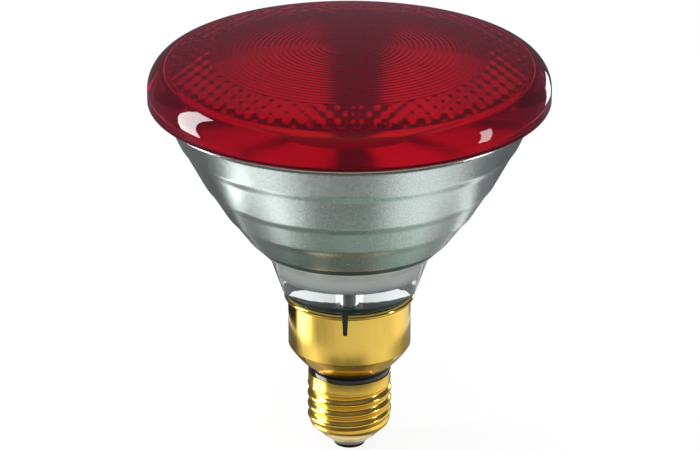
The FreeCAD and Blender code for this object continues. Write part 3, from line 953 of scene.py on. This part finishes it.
def table_rings():
    """Rings flat on the table that shade the lower bands of the silver."""
    swept_card("near_ring", [(0.0362, CARD_Z), (0.046, CARD_Z)], [
        (-180, 0.12), (-100, 0.08), (-70, 0.09), (-30, 0.12), (0, 0.19), (30, 0.22), (70, 0.34), (180, 0.14),
    ], GREEN_TINT)
    swept_card("inner_ring", [(0.046, CARD_Z), (0.062, CARD_Z)], [
        (-180, 0.14), (-100, 0.10), (-70, 0.17), (-30, 0.25), (0, 0.42), (30, 0.34), (70, 0.45), (180, 0.14),
    ], GREEN_TINT)
    swept_card("middle_ring", [(0.062, CARD_Z), (0.1005, CARD_Z)], [
        (-180, 0.20), (-112, 0.10), (-94, 0.15), (-80, 0.65), (-62, 1.40), (-48, 0.85), (-28, 0.22),
        (0, 0.14), (18, 0.18), (40, 0.85), (66, 0.95), (88, 0.5), (115, 0.22), (180, 0.25),
    ])


def outer_cards():
    """Collar on the table that the skirt shows, and a flap over it that the upper silver shows."""
    swept_card("outer_collar", [(0.105, 0.0), (0.105, 0.0175)], [
        (-180, 0.0), (-112, 0.0), (-100, 3.0), (-92, 6.0), (-82, 4.2), (-68, 1.0), (-58, 0.45), (-46, 0.5),
        (-15, 0.80), (30, 0.88), (75, 0.95), (95, 1.25), (112, 1.15), (135, 0.85), (146, 0.25), (160, 0.25),
        (166, 0.8), (180, 0.8),
    ])
    swept_card("outer_flap", [(0.0995, 0.0178), (0.130, 0.0178), (0.130, 0.0)], [
        (-180, 0.10), (-112, 0.06), (-94, 0.16), (-76, 0.7), (-50, 1.0), (-28, 0.20), (0, 0.09), (18, 0.16),
        (42, 0.8), (70, 0.45), (100, 0.15), (180, 0.20),
    ])


def cap_cards():
    """Lit collar round the screw cap under a flap that hides it from the bowl, and a ring at its foot."""
    swept_card("low_collar", [(0.034, 0.0), (0.034, 0.017)], [
        (-180, 0.1), (-100, 0.1), (-94, 8.0), (-64, 8.0), (-58, 0.5), (-20, 0.7), (40, 0.75), (80, 1.1),
        (110, 1.0), (130, 0.3), (180, 0.3),
    ], (1.0, 0.95, 0.85))
    swept_card("low_flap", [(0.027, 0.0175), (0.036, 0.0175), (0.036, 0.0)], [
        (-180, 0.10), (-70, 0.06), (-20, 0.06), (20, 0.10), (70, 0.26), (180, 0.12),
    ], GREEN_TINT)
    swept_card("foot_ring", [(0.008, 0.0003), (0.034, 0.0003)], [
        (-180, 0.2), (-80, 0.5), (-40, 0.13), (40, 0.12), (80, 0.4), (180, 0.2),
    ], (1.0, 0.87, 0.66))


def warm_band():
    """Dim warm band high in front, which the upper flanks of the screw thread show."""
    swept_card("warm_band", [(0.75, 0.85), (0.30, 1.15)], [
        (-180, 0.10), (-95, 0.12), (-55, 0.30), (55, 0.30), (95, 0.20), (180, 0.10),
    ], (1.0, 0.80, 0.55))


def side_panels():
    """Upright panels that the mirror film shows through the lens, dimmer at the top."""
    for name, side, level, inner in (("left_panel", -1, 1.4, 32), ("right_panel", 1, 1.2, 19)):
        main = ((inner, 0.26), (60, 0.26), (132, 0.26), (132, 0.55), (98, 0.80), (60, 0.90), (42, 0.78),
                (inner, 0.60))
        upper = ((inner, 0.60), (42, 0.78), (60, 0.90), (36, 1.12), (14, 1.12))
        panel(name, side, main, level)
        panel(name + "_top", side, upper, level * PANEL_TOP_SHARE)


def panel(name, side, outline, level):
    """Card through places (degrees from the front, z) on the left or the right, -1 or 1."""
    skin = Skin()
    corners = []
    for azimuth, z in outline:
        angle = math.radians(azimuth)
        place = (side * PANEL_RADIUS * math.sin(angle), -PANEL_RADIUS * math.cos(angle), z)
        corners.append(skin.bm.verts.new(place))
    skin.bm.faces.new(corners)
    obj = skin.finish(name, [card_material(name, level)])
    obj.visible_glossy = False
    only_reflected(obj)


def low_wall():
    """Lit wall low down all round, which only the light that comes through glass meets."""
    wall = swept_card("low_wall", [(WALL_RADIUS, 0.0), (WALL_RADIUS, WALL_HEIGHT)], [
        (-180, 0.7), (-110, 1.5), (-60, 1.3), (-30, 0.7), (10, 0.9), (30, 1.6), (110, 1.5), (180, 0.7),
    ])
    wall.visible_glossy = False
    wall.visible_transmission = True


def softbox(name, place, size, power, aim):
    data = bpy.data.lights.new(name, "AREA")
    data.shape = "RECTANGLE"
    data.size, data.size_y = size
    data.energy = power
    obj = bpy.data.objects.new(name, data)
    obj.location = place
    obj.rotation_euler = (Vector(aim) - Vector(place)).to_track_quat("-Z", "Y").to_euler()
    obj.visible_transmission = False
    bpy.context.collection.objects.link(obj)
    return obj


def lamps():
    """Softboxes for the highlights and a broad lamp overhead that only matt surfaces show."""
    softbox("left_box", (-0.35, 0.02, 0.172), (0.095, 0.33), 1.15, (0, 0.02, 0.172))
    softbox("right_box", (0.338, -0.097, 0.10), (0.046, 0.17), 0.2, (0, 0, 0.10))
    softbox("back_box", (0.22, 0.28, 0.06), (0.08, 0.10), 0.10, (0, 0, 0.06))
    overhead = softbox("overhead", (0.0, -0.25, 1.1), (0.9, 0.7), 8.0, (0, 0, 0.09))
    overhead.visible_glossy = False


def backdrop():
    """World that shows white and lights the lamp at a plain level."""
    world = bpy.data.worlds.new("studio")
    world.use_nodes = True
    bpy.context.scene.world = world
    tree = world.node_tree
    room = tree.nodes["Background"]
    room.inputs["Color"].default_value = (*COOL_TINT, 1)
    room.inputs["Strength"].default_value = 0.5
    white = tree.nodes.new("ShaderNodeBackground")
    white.inputs["Color"].default_value = (1, 1, 1, 1)
    mix = tree.nodes.new("ShaderNodeMixShader")
    tree.links.new(seen(tree), mix.inputs["Fac"])
    tree.links.new(room.outputs["Background"], mix.inputs[1])
    tree.links.new(white.outputs["Background"], mix.inputs[2])
    tree.links.new(mix.outputs["Shader"], tree.nodes["World Output"].inputs["Surface"])


def studio():
    """Backdrop, cards and lamps."""
    backdrop()
    tent()
    table_rings()
    outer_cards()
    cap_cards()
    warm_band()
    side_panels()
    low_wall()
    lamps()


def camera():
    tilt = math.radians(CAMERA_ELEVATION)
    data = bpy.data.cameras.new("camera")
    data.lens = FOCAL_LENGTH
    data.sensor_width = SENSOR_WIDTH
    obj = bpy.data.objects.new("camera", data)
    obj.location = (
        CAMERA_SIDE,
        -CAMERA_DISTANCE * math.cos(tilt),
        CAMERA_TARGET_Z + CAMERA_DISTANCE * math.sin(tilt),
    )
    obj.rotation_euler = (math.pi / 2 - tilt, 0, 0)
    bpy.context.collection.objects.link(obj)
    bpy.context.scene.camera = obj


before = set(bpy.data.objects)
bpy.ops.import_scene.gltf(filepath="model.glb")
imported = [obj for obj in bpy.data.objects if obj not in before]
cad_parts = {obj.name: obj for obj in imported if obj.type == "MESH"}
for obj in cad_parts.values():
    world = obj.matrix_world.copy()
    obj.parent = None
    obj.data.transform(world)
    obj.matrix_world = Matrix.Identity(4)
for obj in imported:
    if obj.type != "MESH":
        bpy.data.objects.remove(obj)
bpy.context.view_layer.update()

clear = clear_glass()
glass_pieces(clear)
cap_pieces()
inside_materials(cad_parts, clear)

floor()
studio()
camera()
bpy.context.scene.view_settings.view_transform = "Standard"
